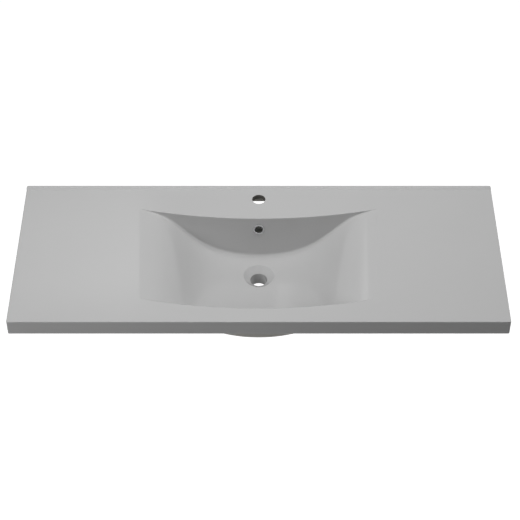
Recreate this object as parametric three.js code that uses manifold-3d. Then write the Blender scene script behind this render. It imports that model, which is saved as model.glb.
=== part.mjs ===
// A wide cast washbasin top: a flat deck with hanging edges, a low lip along the wall and one bowl
// that hangs between two straight creases. An overflow set sits in the bowl's back wall.
//
// Lengths are millimetres and angles are degrees. X runs along the front, Y towards the wall, Z up.
// The origin is the middle of the back edge's underside, where the top rests on its cabinet.

import * as THREE from "three";
import { mergeVertices } from "three/addons/utils/BufferGeometryUtils.js";
import Module from "manifold-3d";

const wasm = await Module();
wasm.setup();

// Slab and hanging edges
const topWidth = 1200;
const topDepth = 480;
const edgeHeight = 42;
const edgeWall = 12;
const deckThickness = 13.5;
const cornerRadius = 3.5;
const edgeRadius = 2;
const hollowRadius = 8;

// Raised lip along the wall
const lipHeight = 3;
const lipTop = 9.5;
const lipSlope = 5;

// Bowl outline on the deck: straight creases at the sides, bowed rims at the back and the front
const bowlWidth = 592;
const backRimSetback = 122;
const backRimBow = 36;
const frontRimSetback = 46;
const frontRimBow = 31;

// Bowl section: a hanging curve from side to side, with leaning walls
const bowlDepth = 113;
const floorFall = 3;
const shellThickness = 13;
const footRadius = 8;
const creaseAngle = 3;
const brinkHandleShare = 0.42;
const floorHandleShare = 0.65;
const backLean = 9.5;
const frontLean = 11;
const frontLeanGain = 20;
const footLimitShare = 0.4;

// Waste outlet: a conical dish in the floor, a straight bore and a thick boss under it
const wasteSetback = 213;
const wasteDiameter = 43;
const wasteBoreLength = 35;
const dishDiameter = 77;
const dishDepth = 13;
const bossMargin = 2;
const bossDraft = 4;

// Tap hole
const tapSetback = 50;
const tapDiameter = 34;

// Overflow set: ring with its sleeve, seal, and the elbow that the sleeve screws into
const ringBore = 20.6;
const sleeveWall = 1.7;
const sleeveGrip = 9;
const flangeLap = 2.2;
const flangeThickness = 2.4;
const flangeRound = 0.8;
const sealLap = 3.7;
const sealThickness = 2;
const padMargin = 2;
const padHeight = 2;
const elbowRoom = 2.5;
const elbowWall = 2.4;
const elbowLength = 26;
const tailDiameter = 20;
const tailReach = 34;
const barbHeight = 0.8;
const barbLength = 6;
const barbCount = 2;

// Clearance between pieces that touch, and the overrun of every cut
const fitGap = 0.3;
const overrun = 10;

// How finely curves are stepped
const bowlSteps = 26;
const footSteps = 5;
const roundSteps = 4;
const circleSteps = 48;
const smallCircleSteps = 40;

// Places worked out from the sizes above
const wallY = edgeWall / 2;
const frontY = wallY - topDepth;
const deckZ = edgeHeight;
const halfBowl = bowlWidth / 2;
const wasteY = wallY - wasteSetback;
const wasteFloorZ = deckZ - bowlDepth - floorFall;
const wasteMouthZ = wasteFloorZ - dishDepth;
const sleeveRadius = ringBore / 2 + sleeveWall;
const overflowHoleRadius = sleeveRadius + fitGap;
const sealRadius = overflowHoleRadius + sealLap;
const overflowDrop = deckThickness + sealRadius + elbowRoom;
const padFace = -shellThickness - padHeight;
const sealFace = padFace - fitGap - sealThickness;
const elbowFace = sealFace - fitGap;
const sleeveEnd = elbowFace - sleeveGrip;

const radians = THREE.MathUtils.degToRad;

// Join vertices that lie together and drop the faces that this closes up
function weld(geometry) {
  const bare = new THREE.BufferGeometry();
  bare.setAttribute("position", geometry.getAttribute("position"));
  bare.setIndex(geometry.getIndex());
  const merged = mergeVertices(bare);
  const index = merged.getIndex().array;
  const faces = [];
  for (let i = 0; i < index.length; i += 3) {
    const [a, b, c] = [index[i], index[i + 1], index[i + 2]];
    if (a !== b && b !== c && c !== a) faces.push(a, b, c);
  }
  merged.setIndex(faces);
  return merged;
}

// Six times the volume inside a closed mesh, negative when its faces point inwards
function signedVolume(geometry) {
  const position = geometry.getAttribute("position");
  const index = geometry.getIndex().array;
  const [a, b, c] = [new THREE.Vector3(), new THREE.Vector3(), new THREE.Vector3()];
  let sum = 0;
  for (let i = 0; i < index.length; i += 3) {
    a.fromBufferAttribute(position, index[i]);
    b.fromBufferAttribute(position, index[i + 1]);
    c.fromBufferAttribute(position, index[i + 2]);
    sum += a.dot(b.cross(c));
  }
  return sum;
}

// A welded mesh with its faces pointing outwards
function closed(geometry) {
  const welded = weld(geometry);
  if (signedVolume(welded) < 0) welded.setIndex([...welded.getIndex().array].reverse());
  return welded;
}

function solidOf(geometry) {
  const mesh = closed(geometry);
  return new wasm.Manifold(new wasm.Mesh({
    numProp: 3,
    vertProperties: new Float32Array(mesh.getAttribute("position").array),
    triVerts: new Uint32Array(mesh.getIndex().array),
  }));
}

function geometryOf(solid) {
  const mesh = solid.getMesh();
  const geometry = new THREE.BufferGeometry();
  geometry.setAttribute("position", new THREE.BufferAttribute(mesh.vertProperties, 3));
  geometry.setIndex(new THREE.BufferAttribute(mesh.triVerts, 1));
  geometry.computeVertexNormals();
  return geometry;
}

// Solid of revolution about Z from [radius, z] points, closed on itself or on the axis
function turned(points, steps) {
  const outline = points.map(([radius, z]) => new THREE.Vector2(radius, z));
  return new THREE.LatheGeometry(outline, steps).rotateX(Math.PI / 2);
}

function disc(radius, lowZ, highZ, steps) {
  return turned([[0, lowZ], [radius, lowZ], [radius, highZ], [0, highZ]], steps);
}

// A rectangle with rounded corners, seen from above
function roundedRectangle(x0, y0, x1, y1, radius) {
  const shape = new THREE.Shape();
  shape.absarc(x1 - radius, y0 + radius, radius, -Math.PI / 2, 0);
  shape.absarc(x1 - radius, y1 - radius, radius, 0, Math.PI / 2);
  shape.absarc(x0 + radius, y1 - radius, radius, Math.PI / 2, Math.PI);
  shape.absarc(x0 + radius, y0 + radius, radius, Math.PI, Math.PI * 1.5);
  shape.closePath();
  return shape;
}

function prism(shape, lowZ, highZ) {
  const options = { depth: highZ - lowZ, bevelEnabled: false, curveSegments: roundSteps };
  return new THREE.ExtrudeGeometry(shape, options).translate(0, 0, lowZ);
}

// Outline of the whole top, seen from above
function topOutline() {
  return roundedRectangle(-topWidth / 2, frontY, topWidth / 2, wallY, cornerRadius);
}

// The outer block, its top and bottom edges rounded
function outerBlock() {
  const options = {
    depth: edgeHeight - 2 * edgeRadius,
    bevelThickness: edgeRadius,
    bevelSize: edgeRadius,
    bevelOffset: -edgeRadius,
    bevelSegments: roundSteps,
    curveSegments: roundSteps,
  };
  return new THREE.ExtrudeGeometry(topOutline(), options).translate(0, 0, edgeRadius);
}

// The lip's section, [Y, Z], carried along the whole width
function wallLip() {
  const slopeY = wallY - lipTop;
  const lowZ = deckZ - deckThickness / 2;
  const section = new THREE.Shape();
  section.moveTo(slopeY - lipSlope, lowZ);
  section.lineTo(wallY, lowZ);
  section.lineTo(wallY, deckZ + lipHeight - edgeRadius);
  section.absarc(wallY - edgeRadius, deckZ + lipHeight - edgeRadius, edgeRadius, 0, Math.PI / 2);
  section.lineTo(slopeY, deckZ + lipHeight);
  section.lineTo(slopeY - lipSlope, deckZ);
  section.closePath();
  const length = topWidth + 2 * overrun;
  const lip = prism(section, -length / 2, length / 2);
  const turn = new THREE.Matrix4().makeBasis(
    new THREE.Vector3(0, 1, 0),
    new THREE.Vector3(0, 0, 1),
    new THREE.Vector3(1, 0, 0),
  );
  const outline = prism(topOutline(), 0, deckZ + lipHeight + overrun);
  return solidOf(lip.applyMatrix4(turn)).intersect(solidOf(outline));
}

// The open hollow inside the hanging edges, under the deck
function underHollow() {
  const shape = roundedRectangle(
    -topWidth / 2 + edgeWall,
    frontY + edgeWall,
    topWidth / 2 - edgeWall,
    wallY - edgeWall,
    hollowRadius,
  );
  return prism(shape, -overrun, deckZ - deckThickness);
}

// How far a bowed rim lies back from its middle at a place along the front
function bowAt(x, bow) {
  const radius = (halfBowl ** 2 + bow ** 2) / (2 * bow);
  return radius - Math.sqrt(radius ** 2 - x ** 2);
}

// The hanging curve from one crease to the middle: x is the way in, y is the drop
function hangingCurve() {
  const rampRun = brinkHandleShare * halfBowl;
  return new THREE.CubicBezierCurve(
    new THREE.Vector2(0, 0),
    new THREE.Vector2(rampRun, rampRun * Math.tan(radians(creaseAngle))),
    new THREE.Vector2(halfBowl - floorHandleShare * halfBowl, bowlDepth),
    new THREE.Vector2(halfBowl, bowlDepth),
  );
}

// Places across the bowl, left to right, pushed out square to the hanging curve by an offset
function stations(offset) {
  const curve = hangingCurve();
  const left = [];
  for (let i = 0; i <= bowlSteps; i += 1) {
    const point = curve.getPoint(i / bowlSteps);
    const along = curve.getTangent(i / bowlSteps);
    left.push({ x: point.x - offset * along.y - halfBowl, drop: point.y + offset * along.x });
  }
  const right = left.slice(0, -1).reverse().map(({ x, drop }) => ({ x: -x, drop }));
  return [...left, ...right];
}

// Points of a rounded foot between a leaning wall and the floor, side 1 at the back and -1 in front
function foot(footY, floorZ, lean, radius, side) {
  const centreY = footY - side * radius * Math.tan((Math.PI / 2 - lean) / 2);
  const points = [];
  for (let i = 0; i <= footSteps; i += 1) {
    const angle = THREE.MathUtils.lerp(-Math.PI / 2, -lean, i / footSteps);
    const y = centreY + side * radius * Math.cos(angle);
    points.push([y, floorZ + radius + radius * Math.sin(angle)]);
  }
  return points;
}

// One section of the bowl as [Y, Z] points, from the front wall's top round to the back wall's top
function bowlSection({ x, drop }, offset, topZ) {
  const back = radians(backLean);
  const front = radians(frontLean + frontLeanGain * (x / halfBowl) ** 2);
  const backY = wallY - backRimSetback + bowAt(x, backRimBow) + offset / Math.cos(back);
  const rimY = frontY + frontRimSetback + bowAt(x, frontRimBow) - offset / Math.cos(front);
  const floorZ = deckZ - drop;
  const radius = offset + Math.min(footRadius, (drop - offset) * footLimitShare);
  const rise = topZ - deckZ;
  const fall = floorFall * (drop - offset) / bowlDepth;
  return [
    [rimY - rise * Math.tan(front), topZ],
    ...foot(rimY + drop * Math.tan(front), floorZ, front, radius, -1).reverse(),
    [wasteY, floorZ - fall],
    ...foot(backY - drop * Math.tan(back), floorZ, back, radius, 1),
    [backY + rise * Math.tan(back), topZ],
  ];
}

// A closed skin over sections of equal length, each at its own place along X
function loft(places, sections) {
  const count = sections[0].length;
  const points = sections.flatMap((section, i) => section.flatMap(([y, z]) => [places[i].x, y, z]));
  const faces = [];
  for (let i = 0; i < sections.length - 1; i += 1) {
    for (let j = 0; j < count; j += 1) {
      const a = i * count + j;
      const b = i * count + (j + 1) % count;
      faces.push(a, b, b + count, a, b + count, a + count);
    }
  }
  const last = (sections.length - 1) * count;
  for (let j = 1; j < count - 1; j += 1) {
    faces.push(0, j + 1, j);
    faces.push(last, last + j, last + j + 1);
  }
  const geometry = new THREE.BufferGeometry();
  geometry.setAttribute("position", new THREE.Float32BufferAttribute(points, 3));
  geometry.setIndex(faces);
  return geometry;
}

// The bowl's inside, or its outside when an offset is given
function bowlForm(offset, topZ) {
  const places = stations(offset);
  return loft(places, places.map((place) => bowlSection(place, offset, topZ)));
}

// Conical dish and straight bore of the waste outlet
function wasteCut() {
  const bore = wasteDiameter / 2;
  const rim = dishDiameter / 2;
  const lowZ = wasteMouthZ - wasteBoreLength - overrun;
  const highZ = wasteFloorZ + overrun;
  const spread = rim + (rim - bore) * overrun / dishDepth;
  return turned([[0, lowZ], [bore, lowZ], [bore, wasteMouthZ], [spread, highZ], [0, highZ]], circleSteps)
    .translate(0, wasteY, 0);
}

// Thick boss round the waste bore, a little wider where it leaves the floor
function wasteBoss() {
  const radius = dishDiameter / 2 + bossMargin;
  const lowZ = wasteMouthZ - wasteBoreLength;
  const highZ = wasteFloorZ - shellThickness / 2;
  return turned([[0, lowZ], [radius, lowZ], [radius + bossDraft, highZ], [0, highZ]], circleSteps)
    .translate(0, wasteY, 0);
}

function tapCut() {
  const cut = disc(tapDiameter / 2, deckZ - deckThickness - overrun, deckZ + overrun, circleSteps);
  return cut.translate(0, wallY - tapSetback, 0);
}

// The overflow's own frame: its axis leaves the back wall square, into the bowl
function placeOverflow(object) {
  const drop = overflowDrop;
  object.rotation.x = Math.PI / 2 - radians(backLean);
  object.position.set(0, wallY - backRimSetback - drop * Math.tan(radians(backLean)), deckZ - drop);
  object.updateMatrixWorld();
  return object;
}

// The casting: slab, lip, bowl and boss joined, then hollowed and drilled
function basinCasting() {
  const overflowFrame = placeOverflow(new THREE.Object3D()).matrixWorld;
  const pad = disc(sealRadius + padMargin, padFace, -shellThickness / 2, smallCircleSteps);
  const hole = disc(overflowHoleRadius, padFace - overrun, overrun, smallCircleSteps);
  const joined = solidOf(outerBlock())
    .subtract(solidOf(underHollow()))
    .add(wallLip())
    .add(solidOf(bowlForm(shellThickness, deckZ - deckThickness / 2)))
    .add(solidOf(wasteBoss()))
    .add(solidOf(pad.applyMatrix4(overflowFrame)));
  const cut = joined
    .subtract(solidOf(bowlForm(0, deckZ + overrun)))
    .subtract(solidOf(wasteCut()))
    .subtract(solidOf(tapCut()))
    .subtract(solidOf(hole.applyMatrix4(overflowFrame)));
  return geometryOf(cut);
}

// Ring and sleeve in one, its flange resting on the bowl wall
function overflowRing() {
  const bore = ringBore / 2;
  const flange = sleeveRadius + flangeLap;
  const faceZ = fitGap + flangeThickness;
  return closed(turned([
    [bore, sleeveEnd],
    [sleeveRadius, sleeveEnd],
    [sleeveRadius, fitGap],
    [flange, fitGap],
    [flange, faceZ - 2 * flangeRound],
    [flange - flangeRound, faceZ - flangeRound / 2],
    [(flange + bore) / 2, faceZ],
    [bore + flangeRound, faceZ - flangeRound / 2],
    [bore, faceZ - 2 * flangeRound],
    [bore, sleeveEnd],
  ], smallCircleSteps));
}

// Flat washer between the casting's pad and the elbow
function overflowSeal() {
  const highZ = sealFace + sealThickness;
  return closed(turned([
    [overflowHoleRadius, sealFace],
    [sealRadius, sealFace],
    [sealRadius, highZ],
    [overflowHoleRadius, highZ],
    [overflowHoleRadius, sealFace],
  ], smallCircleSteps));
}

// Closed cup behind the seal, with a barbed tail that runs down beside the bowl wall
function overflowElbow() {
  const endZ = elbowFace - elbowLength;
  const cupBore = overflowHoleRadius;
  const cup = disc(cupBore + elbowWall, endZ, elbowFace, smallCircleSteps);
  const mouth = disc(sealRadius, elbowFace - elbowWall, elbowFace, smallCircleSteps);
  const room = disc(cupBore, endZ + elbowWall, elbowFace + overrun, smallCircleSteps);
  const tail = tailDiameter / 2;
  const length = cupBore + elbowWall + tailReach;
  const outline = [[0, 0], [tail, 0]];
  for (let i = barbCount; i > 0; i -= 1) {
    const start = length - i * barbLength;
    outline.push([tail, start], [tail + barbHeight, start], [tail, start + barbLength]);
  }
  outline.push([0, length]);
  const placeTail = (geometry) => geometry.rotateX(Math.PI / 2)
    .translate(0, 0, endZ + elbowWall + tail);
  const pipe = placeTail(turned(outline, smallCircleSteps));
  const pipeBore = placeTail(disc(tail - elbowWall, 0, length + overrun, smallCircleSteps));
  const solid = solidOf(cup)
    .add(solidOf(mouth))
    .add(solidOf(pipe))
    .subtract(solidOf(room))
    .subtract(solidOf(pipeBore));
  return geometryOf(solid);
}

// Gelcoated mineral casting, pale warm grey with a satin shine
function castMineral() {
  return new THREE.MeshStandardMaterial({ color: 0xb4b3b0, roughness: 0.3, metalness: 0 });
}

function polishedChrome() {
  return new THREE.MeshStandardMaterial({ color: 0xd2d4d6, roughness: 0.08, metalness: 1 });
}

function blackRubber() {
  return new THREE.MeshStandardMaterial({ color: 0x1d1d1e, roughness: 0.8, metalness: 0 });
}

function whitePlastic() {
  return new THREE.MeshStandardMaterial({ color: 0xdcdcd8, roughness: 0.45, metalness: 0 });
}

function piece(name, geometry, material) {
  const mesh = new THREE.Mesh(geometry, material);
  mesh.name = name;
  return mesh;
}

const overflow = placeOverflow(new THREE.Group());
overflow.add(piece("overflow_ring", overflowRing(), polishedChrome()));
overflow.add(piece("overflow_seal", overflowSeal(), blackRubber()));
overflow.add(piece("overflow_elbow", overflowElbow(), whitePlastic()));

const group = new THREE.Group();
group.add(piece("basin_casting", basinCasting(), castMineral()));
group.add(overflow);

export default group;
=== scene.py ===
import math

import bmesh
import bpy
from mathutils import Matrix, Vector


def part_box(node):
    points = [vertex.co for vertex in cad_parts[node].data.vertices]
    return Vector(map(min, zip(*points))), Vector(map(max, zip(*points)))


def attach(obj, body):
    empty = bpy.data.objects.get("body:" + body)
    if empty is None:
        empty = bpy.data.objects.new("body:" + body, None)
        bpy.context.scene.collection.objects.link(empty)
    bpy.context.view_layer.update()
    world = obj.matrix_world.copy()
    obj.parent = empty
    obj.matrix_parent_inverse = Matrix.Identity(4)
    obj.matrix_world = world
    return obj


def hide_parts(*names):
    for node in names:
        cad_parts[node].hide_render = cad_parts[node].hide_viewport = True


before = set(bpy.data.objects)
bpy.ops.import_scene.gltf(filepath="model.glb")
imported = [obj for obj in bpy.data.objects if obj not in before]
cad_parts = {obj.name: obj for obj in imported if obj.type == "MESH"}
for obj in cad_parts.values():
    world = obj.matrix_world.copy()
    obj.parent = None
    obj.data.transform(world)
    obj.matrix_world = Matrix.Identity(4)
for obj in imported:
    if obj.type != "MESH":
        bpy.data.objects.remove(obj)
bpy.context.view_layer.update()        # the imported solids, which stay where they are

castLow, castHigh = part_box("basin_casting")
print("frame loaded:", len(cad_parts), "solids")

# Metres and degrees all through. X runs along the front, Y to the wall, Z up.
tolerance = {
    "length": 1e-7,              # shorter than this is nothing
    "turn": 1e-4,                # radians, less than this is straight on
    "place": 1e-5,               # how near a point is to a line or plane that it lies on
    "seat": 1e-4,                # the same for an edge on the seat
    "weld": 1e-6,                # ends of a turned outline that close on themselves
    "merge": 2e-5,               # corners that lie together after a cut
    "upright": 0.1,              # a face is upright when its normal rises less than this
    "level": 0.5,                # and level when it rises more than this
}


def settle(name, piece, node):
    # A finished piece: named, riding on the only body, in the place of its solid
    piece.name = name
    piece.data.name = name
    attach(piece, "root")
    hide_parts(node)


def takeUp(*pieces):
    # Select these pieces and nothing else, the last one active
    if bpy.context.object and bpy.context.object.mode != "OBJECT":
        bpy.ops.object.mode_set(mode="OBJECT")
    bpy.ops.object.select_all(action="DESELECT")
    for piece in pieces:
        piece.select_set(True)
        bpy.context.view_layer.objects.active = piece
    return pieces[-1]


def edit(piece):
    takeUp(piece)
    bpy.ops.object.mode_set(mode="EDIT")
    bpy.ops.mesh.select_mode(type="EDGE")
    bpy.ops.mesh.select_all(action="DESELECT")


def pickEdges(piece, wanted):
    # In edit mode: leave only the edges that pass the test selected
    bpy.ops.mesh.select_all(action="DESELECT")
    mesh = bmesh.from_edit_mesh(piece.data)
    mesh.normal_update()
    for edge in mesh.edges:
        if wanted(edge):
            edge.select_set(True)
    bmesh.update_edit_mesh(piece.data)


def middle(edge):
    return (edge.verts[0].co + edge.verts[1].co) / 2


def applyModifier(piece, kind, **settings):
    takeUp(piece)
    modifier = piece.modifiers.new(kind.title(), kind)
    for key, value in settings.items():
        setattr(modifier, key, value)
    bpy.ops.object.modifier_apply(modifier=modifier.name)


def cleanUp():
    # In edit mode: weld what lies together, and take out the slivers
    bpy.ops.mesh.select_all(action="SELECT")
    bpy.ops.mesh.remove_doubles(threshold=tolerance["merge"])
    bpy.ops.mesh.dissolve_degenerate(threshold=tolerance["merge"] / 2)


def spread(start, end, count):
    # Places between two ends, without the first
    return [start + (end - start) * i / count for i in range(1, count + 1)]


# The bowl's form: a hanging curve from crease to middle, between leaning walls

basin = {
    "edgeHeight": 0.042,         # hanging edge, seat to deck
    "edgeWall": 0.012,
    "deckThickness": 0.0135,
    "cornerRadius": 0.0035,      # upright corners
    "edgeRadius": 0.002,         # top and bottom edges all round
    "hollowRadius": 0.008,       # upright corners of the hollow
    "hollowFillet": 0.006,       # hollow's edge against the deck
    "lipTop": 0.0095,            # flat top of the raised lip along the wall
    "lipSlope": 0.005,
    "lipRadius": 0.0012,
    "bowlWidth": 0.592,          # halfway from wall to front
    "taper": 0.182,              # share by which it widens for each metre towards the wall
    "taperSetback": 0.241,       # from the wall to where the bowl has its stated width
    "taperFade": 0.19,           # the deck's columns are straight again this far outside the bowl
    "bowlDepth": 0.113,
    "floorFall": 0.003,          # floor's own fall to the waste
    "shell": 0.013,              # bowl's wall
    "backRimSetback": 0.122,     # at the bowl's middle
    "backRimBow": 0.036,         # how far the rim comes towards the wall at the creases
    "frontRimSetback": 0.046,
    "frontRimBow": 0.031,
    "backLean": 9.5,
    "frontLean": 11,
    "frontLeanGain": 20,         # more at the creases
    "creaseAngle": 3,            # how steeply the floor leaves the crease
    "brinkHandleShare": 0.42,    # how stiffly the curve leaves the crease
    "floorHandleShare": 0.65,    # and how stiffly it runs into the floor
    "searchSteps": 40,
    "bowOverrun": 1.01,          # the rims' bows carry on this far past the creases
    "footRadius": 0.008,
    "frontRimRadius": 0.0035,
    "backRimRadius": 0.0015,
    "underRimRadius": 0.005,     # fillets between the deck's underside and the bowl
    "seatRound": 0.001,          # inner edge of the seat
    "seatStrip": 0.003,          # first strip of the seat beside each of its edges
    "guard": 0.001,              # narrow strip beside each rounding, which keeps the flats flat
    "creaseGuard": 0.0006,
    "creaseEase": 0.03,          # over which the underside's columns come back to the crease
    "rimGuard": 0.005,           # strips along the two outlines, wider than their rounded edges
    "hollowGuard": 0.010,
    "guardRoom": 1.3,            # a stretch shorter than this many of its guards gets none
    "arcShare": 0.4,             # of the stretches beside it that a rounding may take
    "roundSteps": 4,
    "columns": (11, 48, 4, 8),   # each side, over the waste, the bowl, the brink and the deck
    "middleReach": 0.055,        # how far out the columns over the waste go
    "brinkWidth": 0.008,
    "endWidth": 0.010,
    "topCells": [8, 20, 54, 24, 24, 1, 3],       # from front to wall
    "topArcs": [5, 6, 6, 4, 2, 3],
    "underCells": [8, 20, 54, 24, 24],
    "underArcs": [5, 8, 8, 5],
}

halfBowl = basin["bowlWidth"] / 2
frontY, wallY = castLow.y, castHigh.y
halfTop, lipZ = castHigh.x, castHigh.z
deckZ = basin["edgeHeight"]


def guarded(length, count, first, last):
    # As spread from 0, with a strip of its own width at each end
    if count < 3 or length < basin["guardRoom"] * (first + last):
        return spread(0, length, count)
    return [first, *spread(first, length - last, count - 2), length]


def hangingAt(run):
    # Drop and tangent at a distance in from the crease
    ramp = basin["brinkHandleShare"] * halfBowl
    poles = [
        Vector((0, 0)),
        Vector((ramp, ramp * math.tan(math.radians(basin["creaseAngle"])))),
        Vector((halfBowl * (1 - basin["floorHandleShare"]), basin["bowlDepth"])),
        Vector((halfBowl, basin["bowlDepth"])),
    ]
    low, high = 0.0, 1.0
    for _ in range(basin["searchSteps"]):
        t = (low + high) / 2
        s = 1 - t
        place = (
            s**3 * poles[0] + 3 * s * s * t * poles[1]
            + 3 * s * t * t * poles[2] + t**3 * poles[3])
        low, high = (t, high) if place.x < run else (low, t)
    along = (
        s * s * (poles[1] - poles[0]) + 2 * s * t * (poles[2] - poles[1])
        + t * t * (poles[3] - poles[2]))
    return place.y, along.normalized()


def bowAt(x, bow):
    # The rims are arcs: how far back one lies at x, against its middle
    radius = (halfBowl**2 + bow**2) / (2 * bow)
    return radius - math.sqrt(radius**2 - min(abs(x), halfBowl * basin["bowOverrun"]) ** 2)


def stationAt(x, offset):
    # Where a column of the skin stands, and how deep its floor lies under the deck
    if abs(x) >= halfBowl:
        return x, 0.0
    drop, along = hangingAt(halfBowl - abs(x))
    shift = offset * along.y * min(1, (halfBowl - abs(x)) / basin["creaseEase"])
    return math.copysign(abs(x) + shift, x), drop + offset * along.x


def arcAt(corner, back, on, radius, steps):
    # The rounding between two stretches, or the bare corner where there is no room for one
    bare = [corner] * (steps + 1)
    if min(back.length, on.length, radius) <= tolerance["length"]:
        return bare
    turn = math.pi - back.angle(on)
    room = basin["arcShare"]
    reach = min(radius * math.tan(turn / 2), room * back.length, room * on.length)
    if reach <= tolerance["length"] or turn <= tolerance["turn"]:
        return bare
    u, v = back.normalized(), on.normalized()
    radius = reach / math.tan(turn / 2)
    centre = corner + (u + v).normalized() * radius / math.cos(turn / 2)
    spoke = corner + u * reach - centre
    side = 1 if u.cross(v) < 0 else -1
    arc = []
    for k in range(steps + 1):
        angle = side * turn * k / steps
        c, s = math.cos(angle), math.sin(angle)
        arc.append(centre + Vector((c * spoke.x - s * spoke.y, s * spoke.x + c * spoke.y)))
    return arc


def roundedLine(corners, cells, arcSteps, guard, endGuard=None):
    # A line of (y, z, radius) corners: straight stretches cut into cells, corners into arcs
    ends = endGuard or guard
    guards = [ends, *[guard] * (len(corners) - 2), ends]
    points = [Vector(corners[0][:2])]
    for i in range(1, len(corners)):
        corner = Vector(corners[i][:2])
        arc = [corner]
        if i < len(corners) - 1:
            back = Vector(corners[i - 1][:2]) - corner
            on = Vector(corners[i + 1][:2]) - corner
            arc = arcAt(corner, back, on, corners[i][2], arcSteps[i - 1])
        start = points[-1]
        length = (arc[0] - start).length
        for far in guarded(length, cells[i - 1], guards[i - 1], guards[i]):
            share = far / length if length > tolerance["length"] else 0
            points.append(start.lerp(arc[0], share))
        points.extend(arc[1:])
    return points


def fallAt(y, frontFoot, backFoot):
    # Share of the floor's fall at a place between the two feet
    foot = backFoot if y > wasteY else frontFoot
    share = min(1.0, max(0.0, (y - foot) / (wasteY - foot)))
    return share * share * (3 - 2 * share)


def wallsAt(x):
    # Lean of the front and the back wall in radians, and where their rims stand
    gain = basin["frontLeanGain"] * min(1, abs(x) / halfBowl) ** 2
    front = math.radians(basin["frontLean"] + gain)
    back = math.radians(basin["backLean"])
    rimFront = frontY + basin["frontRimSetback"] + bowAt(x, basin["frontRimBow"])
    rimBack = wallY - basin["backRimSetback"] + bowAt(x, basin["backRimBow"])
    return front, back, rimFront, rimBack


def topSection(x, drop):
    # One line over the visible skin, from the front edge to the back edge
    front, back, rimFront, rimBack = wallsAt(x)
    footFront = rimFront + drop * math.tan(front)
    footBack = rimBack - drop * math.tan(back)
    slopeTop = wallY - basin["lipTop"]
    corners = [
        (frontY, deckZ, 0),
        (rimFront, deckZ, basin["frontRimRadius"]),
        (footFront, deckZ - drop, basin["footRadius"]),
        (footBack, deckZ - drop, basin["footRadius"]),
        (rimBack, deckZ, basin["backRimRadius"]),
        (slopeTop - basin["lipSlope"], deckZ, basin["lipRadius"]),
        (slopeTop, lipZ, basin["lipRadius"]),
        (wallY, lipZ, 0),
    ]
    return corners, footFront, footBack


def underSection(x, drop):
    # The same line along the underside, inside the hanging edges
    offset, thick = basin["shell"], basin["deckThickness"]
    front, back, rimFront, rimBack = wallsAt(x)
    rimFront -= offset / math.cos(front)
    rimBack += offset / math.cos(back)
    drop = max(drop, thick)
    footFront = rimFront + drop * math.tan(front)
    footBack = rimBack - drop * math.tan(back)
    outerFoot = basin["footRadius"] + offset
    corners = [
        (frontY + basin["edgeWall"], deckZ - thick, 0),
        (rimFront + thick * math.tan(front), deckZ - thick, basin["underRimRadius"]),
        (footFront, deckZ - drop, outerFoot),
        (footBack, deckZ - drop, outerFoot),
        (rimBack - thick * math.tan(back), deckZ - thick, basin["underRimRadius"]),
        (wallY - basin["edgeWall"], deckZ - thick, 0),
    ]
    return corners, footFront, footBack


def floorHeight(x, y, offset):
    # Height of the bowl's floor between the feet, on the inside or the outside of the shell
    drop, _ = hangingAt(halfBowl - abs(x))
    section = underSection if offset else topSection
    _, footFront, footBack = section(x, drop + offset)
    fall = basin["floorFall"] * drop / basin["bowlDepth"] * fallAt(y, footFront, footBack)
    return deckZ - drop - offset - fall


def columnPlaces(halfWidth):
    # Fine over the bowl, with a guard strip on both sides of each crease
    overWaste, overBowl, overBrink, overDeck = basin["columns"]
    guard, reach = basin["creaseGuard"], basin["middleReach"]
    brink = halfBowl - basin["brinkWidth"]
    half = [0, *spread(0, reach, overWaste), *spread(reach, brink, overBowl)]
    half += [*spread(brink, halfBowl - guard, overBrink), halfBowl, halfBowl + guard]
    half += [*spread(halfBowl + guard, halfWidth - basin["endWidth"], overDeck), halfWidth]
    return [-x for x in reversed(half[1:])] + half


def tapered(x, y):
    # The bowl narrows towards the front, and the deck beside it takes that up
    widening = basin["taper"] * (y - wallY + basin["taperSetback"])
    fade = max(0, 1 - max(0, abs(x) - halfBowl) / basin["taperFade"])
    return x + math.copysign(min(abs(x), halfBowl), x) * widening * fade


def makeSkin(name, section, offset, halfWidth, cells, arcSteps, outlineGuard):
    # A grid primitive laid over the sections, one column of cells after the other
    lines = []
    for x in columnPlaces(halfWidth):
        place, drop = stationAt(x, offset)
        if abs(x) < halfBowl and offset:
            drop = max(drop, offset)
        corners, footFront, footBack = section(place, drop)
        line = roundedLine(corners, cells, arcSteps, basin["guard"], outlineGuard)
        fall = basin["floorFall"] * max(0.0, drop - offset) / basin["bowlDepth"]
        first = sum(cells[:2]) + sum(arcSteps[:2])
        for i in range(first, first + cells[2] + 1):
            line[i].y -= fall * fallAt(line[i].x, footFront, footBack)
        lines.append([Vector((tapered(place, point.x), point.x, point.y)) for point in line])
    columns, rows = len(lines), len(lines[0])
    bpy.ops.object.select_all(action="DESELECT")
    bpy.ops.mesh.primitive_grid_add(x_subdivisions=columns - 1, y_subdivisions=rows - 1, size=1)
    skin = bpy.context.object
    skin.name = name
    for i, vertex in enumerate(skin.data.vertices):
        vertex.co = lines[i % columns][i // columns]
    return skin, columns


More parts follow.
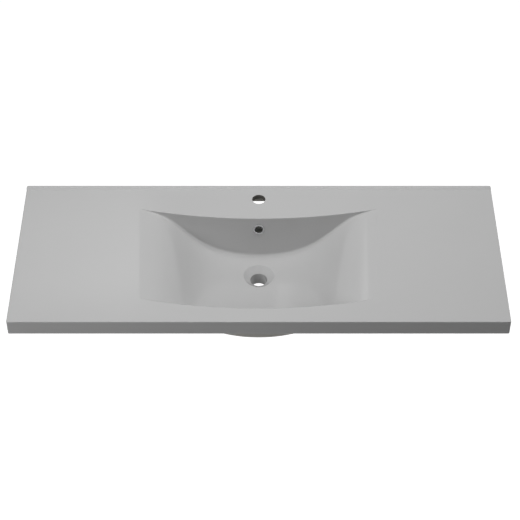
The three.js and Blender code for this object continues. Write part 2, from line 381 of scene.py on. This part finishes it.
def cutWindows(skin, columns, cells, arcs):
    # Take out the blocks of cells that make room for the waste and for the tap hole
    floorRow = sum(cells[:2]) + sum(arcs[:2])
    deckRow = sum(cells[:4]) + sum(arcs[:4])
    half = columns // 2
    wanted = []
    for centre, size, first, count in (
        (wasteY, waste["window"], floorRow, cells[2]),
        (tapY, tap["window"], deckRow, cells[4]),
    ):
        rows = range(first, first + count + 1)
        apart = {row: abs(skin.data.vertices[row * columns + half].co.y - centre) for row in rows}
        nearest = min(rows, key=apart.get)
        for row in range(nearest - size // 2, nearest + size // 2):
            start = row * (columns - 1) + half
            wanted += range(start - size // 2, start + size // 2)
    edit(skin)
    bpy.ops.mesh.select_mode(type="FACE")
    mesh = bmesh.from_edit_mesh(skin.data)
    mesh.faces.ensure_lookup_table()
    for index in wanted:
        mesh.faces[index].select_set(True)
    bmesh.update_edit_mesh(skin.data)
    bpy.ops.mesh.delete(type="FACE")
    cleanUp()
    bpy.ops.object.mode_set(mode="OBJECT")


def outside(point, halfWidth, lowY, highY, margin):
    # Whether a point lies in the narrow frame along the outline
    return (
        abs(point.x) > halfWidth - margin
        or point.y < lowY + margin
        or point.y > highY - margin
    )


def hang(skin, halfWidth, lowY, highY, cornerRound, rimRound, seatRound, seatStrip):
    # Draw the skin's outline down to the seat and round its corners, its rim and the seat's edge
    near = tolerance["place"]

    def atSide(point):
        return abs(abs(point.x) - halfWidth) < near

    def atEnd(point):
        return abs(point.y - lowY) < near or abs(point.y - highY) < near

    def onOutline(edge):
        return edge.is_boundary and (atSide(middle(edge)) or atEnd(middle(edge)))

    def onRim(edge):
        if len(edge.link_faces) != 2 or edge.calc_length() <= near:
            return False
        low, high = sorted(abs(face.normal.z) for face in edge.link_faces)
        turns = low < tolerance["upright"] and high > tolerance["level"]
        return turns and outside(middle(edge), halfWidth, lowY, highY, cornerRound)

    def onSeat(edge):
        return all(abs(vertex.co.z) < near for vertex in edge.verts)

    def onSeatEdge(edge):
        return onSeat(edge) and any(
            abs(face.normal.z) < tolerance["upright"] for face in edge.link_faces)

    edit(skin)
    pickEdges(skin, onOutline)
    bpy.ops.mesh.extrude_edges_indiv()
    bpy.ops.transform.resize(value=(1, 1, 0), center_override=(0, 0, 0))
    pickEdges(skin, lambda edge: all(atSide(v.co) and atEnd(v.co) for v in edge.verts))
    bpy.ops.mesh.bevel(offset=cornerRound, segments=basin["roundSteps"], affect="EDGES")
    pickEdges(skin, onRim)
    bpy.ops.mesh.bevel(offset=rimRound, segments=basin["roundSteps"], affect="EDGES")

    pickEdges(skin, onSeat)
    bpy.ops.mesh.extrude_edges_indiv()
    mesh = bmesh.from_edit_mesh(skin.data)
    for vertex in mesh.verts:
        if vertex.select:
            coreX = min(halfWidth - cornerRound, max(cornerRound - halfWidth, vertex.co.x))
            coreY = min(highY - cornerRound, max(lowY + cornerRound, vertex.co.y))
            core = Vector((coreX, coreY, vertex.co.z))
            vertex.co = core + (vertex.co - core) * (1 + seatStrip / cornerRound)
    bmesh.update_edit_mesh(skin.data)
    pickEdges(skin, onSeatEdge)
    bpy.ops.mesh.bevel(offset=seatRound, segments=basin["roundSteps"], affect="EDGES")
    bpy.ops.object.mode_set(mode="OBJECT")


def sleeve(name, line, steps, place):
    # A turned tube: one circle, drawn on from ring to ring, then set in its place
    bpy.ops.object.select_all(action="DESELECT")
    bpy.ops.mesh.primitive_circle_add(vertices=steps, radius=line[0].x)
    tube = bpy.context.object
    tube.name = name
    bpy.ops.object.mode_set(mode="EDIT")
    bpy.ops.mesh.select_mode(type="EDGE")
    bpy.ops.mesh.select_all(action="SELECT")
    bpy.ops.transform.translate(value=(0, 0, line[0].y))
    for last, point in zip(line, line[1:]):
        scale = point.x / last.x
        bpy.ops.mesh.extrude_edges_indiv()
        bpy.ops.transform.resize(value=(scale, scale, 1), center_override=(0, 0, 0))
        bpy.ops.transform.translate(value=(0, 0, point.y - last.y))
    bpy.ops.object.mode_set(mode="OBJECT")
    tube.data.transform(place)
    return tube


def turned(name, corners, arcSteps, steps, place, closed=True):
    # A solid of revolution from (radius, height, rounding) corners
    count = len(corners) - 1
    line = roundedLine(corners, [1] * count, [arcSteps] * (count - 1), 0)
    piece = sleeve(name, line, steps, place)
    edit(piece)
    bpy.ops.mesh.select_all(action="SELECT")
    if closed:
        bpy.ops.mesh.remove_doubles(threshold=tolerance["weld"])
    else:
        bpy.ops.mesh.fill_holes(sides=0)
    bpy.ops.mesh.select_all(action="SELECT")
    bpy.ops.mesh.normals_make_consistent(inside=False)
    bpy.ops.object.mode_set(mode="OBJECT")
    return piece


def join(*pieces):
    # All into the last one
    piece = takeUp(*pieces)
    bpy.ops.object.join()
    return piece


def combine(piece, other, operation):
    # Boolean with another solid, which is used up, and the slivers it leaves taken out
    applyModifier(piece, "BOOLEAN", object=other, operation=operation, solver="EXACT")
    bpy.data.objects.remove(other)
    edit(piece)
    cleanUp()
    bpy.ops.object.mode_set(mode="OBJECT")


shading = {"sharpAngle": 35, "flatWeight": 50}


def smooth(piece):
    # Soft shading over the roundings, while the flats keep their own direction
    takeUp(piece)
    bpy.ops.object.shade_smooth_by_angle(angle=math.radians(shading["sharpAngle"]))
    applyModifier(piece, "WEIGHTED_NORMAL", keep_sharp=True, weight=shading["flatWeight"])


# The casting

waste = {
    "setback": 0.213,
    "bore": 0.043,
    "boreLength": 0.035,
    "dish": 0.077,               # conical seat, across
    "dishDepth": 0.013,
    "dishRound": 0.0015,
    "mouthRound": 0.001,
    "bossMargin": 0.002,         # boss beyond the dish
    "bossDraft": 0.004,          # how much wider it is at its root
    "bossRound": 0.002,
    "bossFillet": 0.005,
    "window": 22,                # cells cut out of the skins each way
    "cells": [4, 6, 3, 3, 4, 2],
    "arcs": [4, 4, 3, 4, 5],
    "insideShare": 0.9,          # of the shell, down to which the sleeve follows the inner floor
    "search": 0.1,               # the rings to be joined lie within this
}

tap = {
    "setback": 0.050,
    "bore": 0.034,
    "round": 0.0004,
    "window": 12,
    "cells": [1, 3, 1],
    "arcs": [4, 4],
    "search": 0.045,
}

wasteY = wallY - waste["setback"]
tapY = wallY - tap["setback"]


def makeTopSkin():
    cells, arcs, edge = basin["topCells"], basin["topArcs"], basin["edgeRadius"]
    skin, columns = makeSkin(
        "basinCasting", topSection, 0, halfTop, cells, arcs, basin["rimGuard"])
    cutWindows(skin, columns, cells, arcs)
    hang(
        skin, halfTop, frontY, wallY,
        basin["cornerRadius"], edge, edge, -basin["seatStrip"])
    return skin


def makeUnderSkin():
    cells, arcs, wall = basin["underCells"], basin["underArcs"], basin["edgeWall"]
    skin, columns = makeSkin(
        "underSkin", underSection, basin["shell"], halfTop - wall,
        cells, arcs, basin["hollowGuard"])
    cutWindows(skin, columns, cells, arcs)
    hang(
        skin, halfTop - wall, frontY + wall, wallY - wall,
        basin["hollowRadius"], basin["hollowFillet"], basin["seatRound"], basin["seatStrip"])
    return skin


def makeWasteSleeve():
    # Dish, bore and boss in one turned skin, whose ends follow the bowl's floor
    bore, dish = waste["bore"] / 2, waste["dish"] / 2
    boss = dish + waste["bossMargin"]
    mouthZ = -waste["dishDepth"]
    lowZ = mouthZ - waste["boreLength"]
    reach = dish + 2 * waste["bossFillet"] + waste["bossDraft"]
    corners = [
        (reach, 0, 0),
        (dish, 0, waste["dishRound"]),
        (bore, mouthZ, waste["mouthRound"]),
        (bore, lowZ, waste["bossRound"] / 2),
        (boss, lowZ, waste["bossRound"]),
        (boss + waste["bossDraft"], -basin["shell"], waste["bossFillet"]),
        (reach, -basin["shell"], 0),
    ]
    line = roundedLine(corners, waste["cells"], waste["arcs"], basin["guard"])
    topZ = floorHeight(0, wasteY, 0)
    insideZ = topZ - basin["shell"] * waste["insideShare"]
    steps = 4 * waste["window"]
    tube = sleeve("wasteSleeve", line, steps, Matrix.Translation((0, wasteY, topZ)))
    for vertex in tube.data.vertices:
        x, y = vertex.co.x, vertex.co.y
        radius = math.hypot(x, y - wasteY)
        if vertex.co.z > insideZ:
            share = (radius - bore) / (dish - bore)
            lift = floorHeight(x, y, 0) - topZ
        else:
            share = (radius - boss) / (reach - boss)
            lift = floorHeight(x, y, basin["shell"]) - floorHeight(0, wasteY, basin["shell"])
        vertex.co.z += lift * min(1, max(0, share))
    return tube


def makeTapSleeve():
    bore = tap["bore"] / 2
    reach = bore + 2 * tap["round"]
    thick = basin["deckThickness"]
    corners = [
        (reach, 0, 0),
        (bore, 0, tap["round"]),
        (bore, -thick, tap["round"]),
        (reach, -thick, 0),
    ]
    line = roundedLine(corners, tap["cells"], tap["arcs"], basin["guard"])
    return sleeve("tapSleeve", line, 4 * tap["window"], Matrix.Translation((0, tapY, deckZ)))


def bridge(casting, centreY, reach, split, below):
    # Join a sleeve's end ring to the window round it, above or under the split
    def around(edge):
        place = middle(edge)
        apart = math.hypot(place.x, place.y - centreY)
        offSeat = abs(place.z) > tolerance["seat"]
        return edge.is_boundary and apart < reach and offSeat and (place.z < split) == below

    pickEdges(casting, around)
    bpy.ops.mesh.bridge_edge_loops()


def makeCasting():
    # Both skins and both sleeves, closed into one shell
    casting = makeTopSkin()
    print("visible skin:", len(casting.data.polygons), "faces")
    under = makeUnderSkin()
    edit(under)
    bpy.ops.mesh.select_all(action="SELECT")
    bpy.ops.mesh.flip_normals()
    bpy.ops.object.mode_set(mode="OBJECT")
    print("underside:", len(under.data.polygons), "faces")
    casting = join(under, makeWasteSleeve(), makeTapSleeve(), casting)
    edit(casting)
    for centreY, reach, split in (
        (wasteY, waste["search"], floorHeight(0, wasteY, 0) - basin["shell"] / 2),
        (tapY, tap["search"], deckZ - basin["deckThickness"] / 2),
    ):
        for below in (False, True):
            bridge(casting, centreY, reach, split, below)
    pickEdges(casting, lambda edge: edge.is_boundary and abs(middle(edge).z) < tolerance["place"])
    bpy.ops.mesh.bridge_edge_loops()
    bpy.ops.mesh.select_all(action="SELECT")
    bpy.ops.mesh.normals_make_consistent(inside=False)
    bpy.ops.object.mode_set(mode="OBJECT")
    return casting


# The overflow

overflow = {
    "drop": 0.032,               # under the deck
    "bore": 0.0206,
    "sleeveWall": 0.0017,
    "gap": 0.0003,               # between pieces
    "sealLap": 0.0037,           # seal and elbow mouth beyond the hole
    "padMargin": 0.002,          # pad beyond the seal
    "padHeight": 0.002,
    "sealThickness": 0.002,
    "flangeLap": 0.0022,         # flange beyond the sleeve
    "flangeThickness": 0.0024,
    "flangeRound": 0.0006,
    "sleeveGrip": 0.009,         # sleeve inside the elbow
    "elbowWall": 0.0024,
    "elbowLength": 0.026,
    "elbowRound": 0.0008,
    "tail": 0.020,               # across
    "tailReach": 0.034,          # below the cup
    "barbHeight": 0.0008,
    "barbLength": 0.006,
    "barbs": 2,
    "soft": 0.0005,              # smallest rounding, and how near turned solids come to their axis
    "steps": 64,
}

sleeveRadius = overflow["bore"] / 2 + overflow["sleeveWall"]
holeRadius = sleeveRadius + overflow["gap"]
padRadius = holeRadius + overflow["sealLap"] + overflow["padMargin"]
padFace = -basin["shell"] - overflow["padHeight"]
sealFace = padFace - overflow["gap"] - overflow["sealThickness"]
elbowFace = sealFace - overflow["gap"]


def overflowPlace():
    # The overflow's own frame: its Z leaves the back wall square, into the bowl
    lean = math.radians(basin["backLean"])
    y = wallY - basin["backRimSetback"] - overflow["drop"] * math.tan(lean)
    turn = Matrix.Rotation(math.pi / 2 - lean, 4, "X")
    return Matrix.Translation((0, y, deckZ - overflow["drop"])) @ turn


def drillOverflow(casting):
    # A round pad on the wall's outside, then the hole through both with softened ends
    face, far, soft = padFace, basin["shell"], overflow["soft"]
    pad = turned("pad", [
        (soft, -far / 2, 0),
        (padRadius, -far / 2, 0),
        (padRadius, face, soft),
        (soft, face, 0),
    ], 4, overflow["steps"], overflowPlace(), closed=False)
    combine(casting, pad, "UNION")
    cutter = turned("cutter", [
        (soft, far, 0),
        (holeRadius + 2 * soft, far, 0),
        (holeRadius + 2 * soft, soft, 0),
        (holeRadius, -soft, 0),
        (holeRadius, face + soft, 0),
        (holeRadius + 2 * soft, face - soft, 0),
        (holeRadius + 2 * soft, face - far, 0),
        (soft, face - far, 0),
    ], 1, overflow["steps"], overflowPlace(), closed=False)
    combine(casting, cutter, "DIFFERENCE")


def makeRing():
    # Flat flange on the bowl wall, and the sleeve that runs back into the elbow
    bore = overflow["bore"] / 2
    flange = sleeveRadius + overflow["flangeLap"]
    gap, soft = overflow["gap"], overflow["flangeRound"]
    back = elbowFace - overflow["sleeveGrip"]
    face = gap + overflow["flangeThickness"]
    return turned("overflowRing", [
        (sleeveRadius, (gap + back) / 2, 0),
        (sleeveRadius, gap, 0),
        (flange, gap, soft / 4),
        (flange, face, soft),
        (bore, face, soft),
        (bore, back, soft / 4),
        (sleeveRadius, back, soft / 4),
        (sleeveRadius, (gap + back) / 2, 0),
    ], 5, overflow["steps"], overflowPlace())


def makeSeal():
    high = sealFace + overflow["sealThickness"]
    outer = holeRadius + overflow["sealLap"]
    middleRadius = (holeRadius + outer) / 2
    soft = overflow["sealThickness"] / 4
    return turned("overflowSeal", [
        (middleRadius, high, 0),
        (holeRadius, high, soft),
        (holeRadius, sealFace, soft),
        (outer, sealFace, soft),
        (outer, high, soft),
        (middleRadius, high, 0),
    ], 4, overflow["steps"], overflowPlace())


def makeElbow():
    # Moulded cup with its mouth flange, and a barbed tail that runs down beside the bowl
    place, steps = overflowPlace(), overflow["steps"]
    wall, soft = overflow["elbowWall"], overflow["elbowRound"]
    cup, tail = holeRadius + wall, overflow["tail"] / 2
    end = elbowFace - overflow["elbowLength"]
    mouth = holeRadius + overflow["sealLap"]
    body = turned("overflowElbow", [
        (soft, elbowFace, 0),
        (mouth, elbowFace, soft),
        (mouth, elbowFace - wall, soft),
        (cup, elbowFace - wall, soft),
        (cup, end, 3 * soft),
        (soft, end, 0),
    ], 4, steps, place, closed=False)
    length = cup + overflow["tailReach"]
    barb, rise = overflow["barbLength"], overflow["barbHeight"]
    corners = [(soft, 0, 0), (tail, 0, 0)]
    for i in range(overflow["barbs"], 0, -1):
        start = length - i * barb
        corners += [
            (tail, start, soft / 4),
            (tail + rise, start, soft / 4),
            (tail, start + barb, 0),
        ]
    corners += [(tail, length, soft / 2), (soft, length, 0)]
    corners = [
        corner for i, corner in enumerate(corners)
        if i == 0 or corner[:2] != corners[i - 1][:2]
    ]
    floor, far = end + wall, length + wall
    down = Matrix.Translation((0, 0, floor + tail)) @ Matrix.Rotation(math.pi / 2, 4, "X")
    combine(body, turned("tail", corners, 3, steps, place @ down, closed=False), "UNION")
    inner = [(soft, 0, 0), (tail - wall, 0, 0), (tail - wall, far, 0), (soft, far, 0)]
    room = [
        (soft, floor, 0),
        (holeRadius, floor, 2 * soft),
        (holeRadius, -wall, 0),
        (soft, -wall, 0),
    ]
    combine(body, turned("room", room, 4, steps, place, closed=False), "DIFFERENCE")
    combine(body, turned("pipe", inner, 1, steps, place @ down, closed=False), "DIFFERENCE")
    return body


# Finishes

class Socket:
    # A value in a material, on which sums can be written
    def __init__(self, shade, link):
        self.shade, self.link = shade, link

    def sum(self, operation, first, second):
        settings = {"operation": operation}
        return self.shade.node("ShaderNodeMath", settings, {0: first, 1: second})

    def __add__(self, other):
        return self.sum("ADD", self, other)

    def __radd__(self, other):
        return self.sum("ADD", other, self)

    def __mul__(self, other):
        return self.sum("MULTIPLY", self, other)

    def __rmul__(self, other):
        return self.sum("MULTIPLY", other, self)


class Shade:
    # A node tree, emptied, with one way to add a node
    def __init__(self, owner):
        owner.use_nodes = True
        self.tree = owner.node_tree
        self.tree.nodes.clear()

    def node(self, kind, settings=None, sockets=None, output=0):
        # Settings are the node's own, sockets take a number, a colour or another node's value
        made = self.tree.nodes.new(kind)
        for key, value in (settings or {}).items():
            setattr(made, key, value)
        for key, value in (sockets or {}).items():
            if isinstance(value, Socket):
                self.tree.links.new(value.link, made.inputs[key])
            else:
                made.inputs[key].default_value = value
        if made.outputs:
            return Socket(self, made.outputs[output])

    def noise(self, scale, detail=2, roughness=0.5):
        coords = self.node("ShaderNodeTexCoord", output="Object")
        sockets = {"Vector": coords, "Scale": scale, "Detail": detail, "Roughness": roughness}
        return self.node("ShaderNodeTexNoise", None, sockets)

    def mix(self, share, first, second):
        sockets = {"Factor": share, 6: first, 7: second}
        return self.node("ShaderNodeMix", {"data_type": "RGBA"}, sockets, 2)

    def bump(self, height, strength, distance):
        sockets = {"Height": height, "Strength": strength, "Distance": distance}
        return self.node("ShaderNodeBump", None, sockets)

    def surface(self, sockets):
        shader = self.node("ShaderNodeBsdfPrincipled", None, sockets)
        self.node("ShaderNodeOutputMaterial", None, {"Surface": shader})


def newFinish(name):
    finish = bpy.data.materials.new(name)
    return finish, Shade(finish)


def linear(red, green, blue):
    # Colour as seen, 0 to 255, to the renderer's own scale
    def channel(value):
        value /= 255
        return value / 12.92 if value <= 0.04045 else ((value + 0.055) / 1.055) ** 2.4
    return (*map(channel, (red, green, blue)), 1)


def gelcoat():
    # Glossy gelcoat on cast mineral: nearly even, with faint clouds and a trace of ripple
    finish, shade = newFinish("gelcoat")
    cloud = shade.noise(scale=7, detail=3)
    fleck = shade.noise(scale=260, detail=2)
    ripple = shade.noise(scale=38, detail=1)
    colour = shade.mix(cloud * 0.7 + fleck * 0.3, linear(175, 175, 175), linear(179, 179, 179))
    shade.surface({
        "Base Color": colour,
        "Roughness": 0.10 + cloud * 0.03,
        "Specular IOR Level": 0.28,
        "Normal": shade.bump(ripple + fleck * 0.1, strength=0.02, distance=0.0004),
    })
    return finish


def rawCasting():
    # The open side of the mould: matt, a little chalky, with fine pits
    finish, shade = newFinish("rawCasting")
    cloud = shade.noise(scale=11, detail=4, roughness=0.6)
    grain = shade.noise(scale=420, detail=4, roughness=0.7)
    colour = shade.mix(cloud * 0.6 + grain * 0.4, linear(160, 158, 153), linear(178, 176, 171))
    shade.surface({
        "Base Color": colour,
        "Roughness": 0.46 + grain * 0.14,
        "Normal": shade.bump(grain + cloud * 2, strength=0.35, distance=0.0004),
    })
    return finish


def drilledCoreAndShade():
    # Filler laid bare by the hole saw, dull and scored round the bore; its dark colour is partly
    # the core's own and partly painted shade inside the tap hole
    finish, shade = newFinish("drilledCoreAndShade")
    grain = shade.noise(scale=900, detail=3, roughness=0.7)
    cloud = shade.noise(scale=120, detail=2)
    # the two dark tones hold painted shade for the hole's inside, on top of the core's own colour
    colour = shade.mix(cloud * 0.4 + grain * 0.6, linear(84, 82, 79), linear(112, 110, 106))
    shade.surface({
        "Base Color": colour,
        "Roughness": 0.8 + grain * 0.15,
        "Specular IOR Level": 0.15,
        "Normal": shade.bump(grain + cloud, strength=0.4, distance=0.0003),
    })
    return finish


def chrome():
    # Bright plating with the faint marks of wiping
    finish, shade = newFinish("chrome")
    wipe = shade.noise(scale=90, detail=2)
    brush = shade.noise(scale=600, detail=1)
    shade.surface({
        "Base Color": linear(216, 217, 218),
        "Metallic": 1.0,
        "Roughness": 0.08 + wipe * 0.05,
        "Normal": shade.bump(brush, strength=0.03, distance=0.0001),
    })
    return finish


def rubber():
    # Black moulded rubber, matt
    finish, shade = newFinish("rubber")
    grain = shade.noise(scale=900, detail=3, roughness=0.6)
    shade.surface({
        "Base Color": shade.mix(grain, linear(24, 24, 25), linear(36, 36, 36)),
        "Roughness": 0.7 + grain * 0.2,
        "Normal": shade.bump(grain, strength=0.3, distance=0.0002),
    })
    return finish


def whitePlastic():
    # Injection-moulded, half matt, with a slight drift of tone
    finish, shade = newFinish("whitePlastic")
    grain = shade.noise(scale=700, detail=2)
    flow = shade.noise(scale=30, detail=2)
    shade.surface({
        "Base Color": shade.mix(flow, linear(212, 212, 207), linear(222, 222, 218)),
        "Roughness": 0.38 + grain * 0.12,
        "Normal": shade.bump(grain, strength=0.12, distance=0.0002),
    })
    return finish


finishes = {
    "upright": 0.02,             # a face is upright when its normal rises less than this
    "boreUpright": 0.4,          # the same in the tap hole, its softened ends included
    "edgeFrame": 1.5,            # edge radii in from the outline, all gelcoat
    "padFrame": 1.05,            # pad radii round the overflow's own axis, behind the wall
    "wasteFrame": 1.01,          # bore radii, so all of the bore
}


def finishOf(face, intoWall):
    # 0 gelcoat, 1 the open side of the mould, 2 the tap hole's drilled wall, darkened partly with
    # painted shade
    place, normal = face.center, face.normal
    upright = abs(normal.z) < finishes["upright"]
    if outside(place, halfTop, frontY, wallY, finishes["edgeFrame"] * basin["edgeRadius"]):
        return 0
    there = intoWall @ place
    behind = there.z < -overflow["soft"] * 2
    if behind and math.hypot(there.x, there.y) < padRadius * finishes["padFrame"]:
        return 1
    inTapHole = math.hypot(place.x, place.y - tapY) < tap["bore"] / 2 + tap["round"] / 3
    if inTapHole and abs(normal.z) < finishes["boreUpright"]:
        return 2
    bore = waste["bore"] / 2 * finishes["wasteFrame"]
    if upright and math.hypot(place.x, place.y - wasteY) < bore:
        return 0
    below = place.z < deckZ - basin["deckThickness"]
    return int(normal.z < -finishes["upright"] or upright and below)


casting = makeCasting()
drillOverflow(casting)
# the third finish puts painted shade on the tap hole's wall
for finish in (gelcoat, rawCasting, drilledCoreAndShade):
    casting.data.materials.append(finish())
intoWall = overflowPlace().inverted()
for face in casting.data.polygons:
    face.material_index = finishOf(face, intoWall)
smooth(casting)
settle("basinCasting", casting, "basin_casting")
print("casting finished:", len(casting.data.polygons), "faces")

for name, make, node, slot, finish in (
    ("overflowRing", makeRing, "overflow_ring", "chrome_trim", chrome),
    ("overflowSeal", makeSeal, "overflow_seal", "seal_rubber", rubber),
    ("overflowElbow", makeElbow, "overflow_elbow", "white_plastic", whitePlastic),
):
    piece = make()
    smooth(piece)
    settle(name, piece, node)
    piece.data.materials.append(finish())
print("overflow set finished")


# Studio

studio = {
    "ambient": 0.05,             # what the white background gives to matt surfaces
    "lamps": {                   # place, where it aims, size, watts
        "top": ((0, 0.05, 2.2), (0, 0.05, 0.04), 1.2, 39.5),
        "front": ((-0.73, -1.79, 2.25), (0, -0.23, 0.04), 1.2, 5),
        "frontLeft": ((-1.54, -1.77, 1.05), (0, -0.23, 0.04), 1.0, 17.5),
        "right": ((2.92, -0.23, 1.34), (0, -0.23, 0.04), 1.2, 19.5),
        "under": ((0, -0.06, -1.4), (0, -0.06, 0.04), 1.2, 4),
    },
}


def makeLamp(name, place, aim, size, power):
    light = bpy.data.lights.new(name, "AREA")
    light.size = size
    light.energy = power
    holder = bpy.data.objects.new(name, light)
    bpy.context.scene.collection.objects.link(holder)
    holder.location = place
    holder.rotation_euler = (Vector(aim) - Vector(place)).to_track_quat("-Z", "Y").to_euler()
    holder.visible_camera = False
    holder.visible_glossy = False


def makePlane(name, size):
    bpy.ops.object.select_all(action="DESELECT")
    bpy.ops.mesh.primitive_plane_add(size=size)
    plane = bpy.context.object
    plane.name = name
    return plane


softbox = {
    "corners": ((-1.30, 2.5, 2.30), (-0.52, 2.5, 2.30), (-1.30, 2.5, 3.14), (-0.52, 2.5, 3.03)),
    "fades": {"X": (-1.30, -0.62), "Z": (2.22, 3.08)},    # bright towards the right and the top
    "dim": 0.5,
    "strength": 3.2,
}


def makeSoftbox():
    # A white panel behind the wall side, seen only as a mirror image in the gelcoat
    box = makePlane("softbox", 1)
    for vertex, corner in zip(box.data.vertices, softbox["corners"]):
        vertex.co = corner
    finish, shade = newFinish("softbox")
    coords = shade.node("ShaderNodeTexCoord", output="Object")
    share = 1.0
    for axis, (first, last) in softbox["fades"].items():
        place = shade.node("ShaderNodeSeparateXYZ", None, {"Vector": coords}, axis)
        share = share * shade.node("ShaderNodeMapRange", None, {
            "Value": place, "From Min": first, "From Max": last})
    dim = softbox["dim"]
    shade.surface({
        "Base Color": (0, 0, 0, 1),
        "Specular IOR Level": 0,
        "Emission Color": shade.mix(share, (dim, dim, dim, 1), (1, 1, 1, 1)),
        "Emission Strength": softbox["strength"],
    })
    box.data.materials.append(finish)
    box.visible_camera = box.visible_diffuse = box.visible_shadow = False


floorPaint = {"height": -1.5, "size": 40, "grey": 200, "roughness": 0.9, "glow": 0.9}


def makeFloor():
    # Far below, and white to the camera and in mirror images
    floor = makePlane("floor", floorPaint["size"])
    floor.data.transform(Matrix.Translation((0, 0, floorPaint["height"])))
    finish, shade = newFinish("floorPaint")
    seen = shade.node("ShaderNodeLightPath", output="Is Camera Ray")
    mirrored = shade.node("ShaderNodeLightPath", output="Is Glossy Ray")
    grey = floorPaint["grey"]
    shade.surface({
        "Base Color": linear(grey, grey, grey),
        "Roughness": floorPaint["roughness"],
        "Emission Color": (1, 1, 1, 1),
        "Emission Strength": (seen + mirrored) * floorPaint["glow"],
    })
    floor.data.materials.append(finish)


def makeWorld():
    # White to the camera, in mirrors and through glass, dim to all else
    world = bpy.data.worlds.new("studio")
    bpy.context.scene.world = world
    shade = Shade(world)
    rays = ("Is Camera Ray", "Is Glossy Ray", "Is Transmission Ray")
    camera, glossy, through = [shade.node("ShaderNodeLightPath", output=ray) for ray in rays]
    level = studio["ambient"] + (camera + glossy + through) * (1 - studio["ambient"])
    light = shade.node("ShaderNodeBackground", None, {"Color": (1, 1, 1, 1), "Strength": level})
    shade.node("ShaderNodeOutputWorld", None, {"Surface": light})


view = {
    "lens": 108.7,
    "sensor": 36,
    "eye": (0.0031, -3.0155, 2.7691),
    "lookDown": 44.757,
}


def makeCamera():
    camera = bpy.data.objects.new("camera", bpy.data.cameras.new("camera"))
    bpy.context.scene.collection.objects.link(camera)
    camera.data.lens = view["lens"]
    camera.data.sensor_width = view["sensor"]
    camera.location = view["eye"]
    camera.rotation_euler = (math.radians(90 - view["lookDown"]), 0, 0)
    bpy.context.scene.camera = camera


for name, lamp in studio["lamps"].items():
    makeLamp(name, *lamp)
makeSoftbox()
makeFloor()
makeWorld()
makeCamera()
bpy.context.scene.view_settings.view_transform = "Standard"

print("scene ready")
